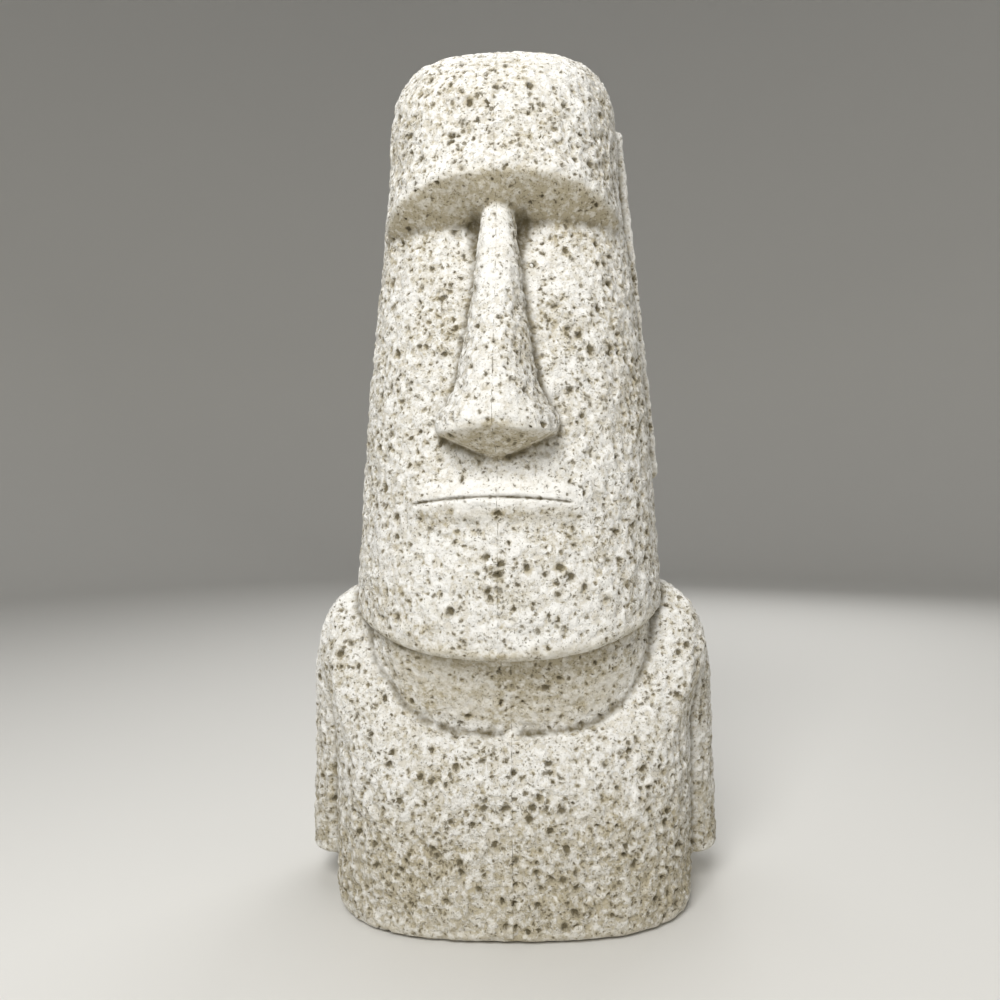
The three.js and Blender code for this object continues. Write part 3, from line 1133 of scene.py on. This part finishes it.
    def thin(self, skin: bpy.types.Object) -> None:
        """Spends the piece's triangles where the skin bends most."""
        skin.data.calc_loop_triangles()
        held = len(skin.data.loop_triangles)
        ratio = min(self.triangles / held, 1.0)
        apply_modifier(skin, "DECIMATE", ratio=ratio, use_collapse_triangulate=True)
        log.info("thinned from %d to %d triangles", held, len(skin.data.polygons))

    def trim(self, skin: bpy.types.Object) -> None:
        """Keeps the skin within the solid's box.

        Args:
            skin: The thinned mesh.
        """
        solid = read_points(frame["nodes"][self.node])
        write_points(skin, np.clip(read_points(skin), solid.min(axis=0), solid.max(axis=0)))

    def dress(self, skin: bpy.types.Object) -> None:
        """Gives the piece its stone and puts it in the frame."""
        make_active(skin)
        bpy.ops.object.shade_smooth()
        skin.data.materials.clear()
        skin.data.materials.append(self.finish.material())
        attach(skin, "root")
        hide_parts(self.node)


# ---------------------------------------------------------------- the studio
@dataclass(frozen=True)
class SoftBox:
    """One soft light.

    Attributes:
        name: What it does.
        place: Where it hangs.
        width: The side of its square.
        power: How strong it is, in watts.
        tint: Its colour.
    """

    name: str
    place: Place
    width: float
    power: float
    tint: tuple[float, float, float] = (1.0, 1.0, 1.0)

    def build(self, target: Vector) -> None:
        """Hangs the light and points it.

        Args:
            target: The place that it shines at.
        """
        bpy.ops.object.light_add(type="AREA", location=self.place)
        lamp = bpy.context.view_layer.objects.active
        lamp.name = self.name
        lamp.data.size = self.width
        lamp.data.energy = self.power
        lamp.data.color = self.tint
        lamp.visible_camera = False
        lamp.rotation_euler = (target - Vector(self.place)).to_track_quat("-Z", "Y").to_euler()


@dataclass
class Studio:
    """A pale round sweep, soft lights and the camera.

    Attributes:
        radius: The radius of the floor.
        cove: How wide and high the curve from floor to wall is.
        wall: How high the wall is.
        rim_points: How many points the round of the floor has.
        steps: How many steps the curve has.
        paper: The colour of the sweep.
        paper_matt: How matt it is.
        paper_sheen: How much it mirrors.
        lights: The soft lights.
        aim: Where the lights point.
        sky: How strong the light of the surround is.
        eye: Where the camera stands.
        lens: Its focal length in millimetres.
        yaw: How far it turns to the left, in degrees.
        roll: How far it leans, in degrees.
        nearest: How near a thing may be and still be seen.
    """

    radius: float = 2.6
    cove: float = 0.9
    wall: float = 2.4
    rim_points: int = 96
    steps: int = 8
    paper: Colour = (0.70, 0.69, 0.66, 1)
    paper_matt: float = 0.95
    paper_sheen: float = 0.1
    lights: tuple[SoftBox, ...] = (
        SoftBox("key light", (-0.35, -1.3, 1.4), 0.8, 27.8, (1.0, 0.995, 0.985)),
        SoftBox("fill light", (1.25, -1.05, 0.75), 1.0, 1.6, (1.0, 0.93, 0.82)),
        SoftBox("top light", (-0.1, 0.35, 1.9), 1.2, 10.0),
        SoftBox("back light", (0.7, 1.5, 1.2), 1.2, 10.0),
    )
    aim: Place = (0.0, 0.0, 360 * MM)
    sky: float = 0.2
    eye: Place = (8.5 * MM, -641 * MM, 322 * MM)
    lens: float = 27.36
    yaw: float = 1.5
    roll: float = 0.7
    nearest: float = 20 * MM

    def build(self) -> None:
        """Sets up the sweep, the lights, the surround and the camera."""
        self.sweep()
        for light in self.lights:
            light.build(Vector(self.aim))
        self.surround()
        self.camera()

    def sweep(self) -> None:
        """Makes the floor and the wall as one curved sheet of paper."""
        deselect_all()
        bpy.ops.mesh.primitive_circle_add(
            vertices=self.rim_points, radius=self.radius, fill_type="NGON"
        )
        floor = bpy.context.view_layer.objects.active
        floor.name = "paper_sweep"
        bpy.ops.object.mode_set(mode="EDIT")
        bpy.ops.mesh.select_mode(type="EDGE")
        bpy.ops.mesh.select_all(action="SELECT")
        for step in range(1, self.steps + 1):
            before = (step - 1) / self.steps * math.pi / 2
            after = step / self.steps * math.pi / 2
            reach = self.radius + self.cove * math.sin(before)
            wider = (self.radius + self.cove * math.sin(after)) / reach
            lift = self.cove * (math.cos(before) - math.cos(after))
            bpy.ops.mesh.extrude_edges_move(TRANSFORM_OT_translate={"value": (0, 0, lift)})
            bpy.ops.transform.resize(value=(wider, wider, 1))
        bpy.ops.mesh.extrude_edges_move(TRANSFORM_OT_translate={"value": (0, 0, self.wall)})
        bpy.ops.object.mode_set(mode="OBJECT")
        bpy.ops.object.shade_smooth()
        floor.data.materials.append(self.paper_finish())

    def paper_finish(self) -> bpy.types.Material:
        """Builds the matt paper of the sweep."""
        paper = bpy.data.materials.new("studio paper")
        paper.use_nodes = True
        shader = paper.node_tree.nodes["Principled BSDF"]
        shader.inputs["Base Color"].default_value = self.paper
        shader.inputs["Roughness"].default_value = self.paper_matt
        shader.inputs["Specular IOR Level"].default_value = self.paper_sheen
        return paper

    def surround(self) -> None:
        """Lights the whole studio faintly from all around and sets plain colour handling."""
        scene = bpy.context.scene
        scene.world = scene.world or bpy.data.worlds.new("surround")
        scene.world.use_nodes = True
        sky = scene.world.node_tree.nodes["Background"]
        sky.inputs["Color"].default_value = (1, 1, 1, 1)
        sky.inputs["Strength"].default_value = self.sky
        scene.view_settings.view_transform = "Standard"
        scene.view_settings.look = "None"

    def camera(self) -> None:
        """Stands the camera in front of the face, at the height of the mouth."""
        bpy.ops.object.camera_add()
        camera = bpy.context.view_layer.objects.active
        camera.data.lens = self.lens
        camera.data.clip_start = self.nearest
        level = Matrix.Rotation(math.radians(90), 4, "X")
        lean = Matrix.Rotation(math.radians(self.roll), 4, "Y")
        turn = Matrix.Rotation(math.radians(self.yaw), 4, "Z")
        camera.matrix_world = Matrix.Translation(self.eye) @ turn @ lean @ level
        bpy.context.scene.camera = camera


def main() -> None:
    """Builds the statue and its studio."""
    logging.basicConfig(level=logging.INFO, format="%(name)s: %(message)s")
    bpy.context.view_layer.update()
    skin = Statue().build()
    log.info("%s: %d triangles", skin.name, len(skin.data.polygons))
    Studio().build()
    log.info("studio: sweep, lights and camera")


if __name__ == "__main__":
    main()
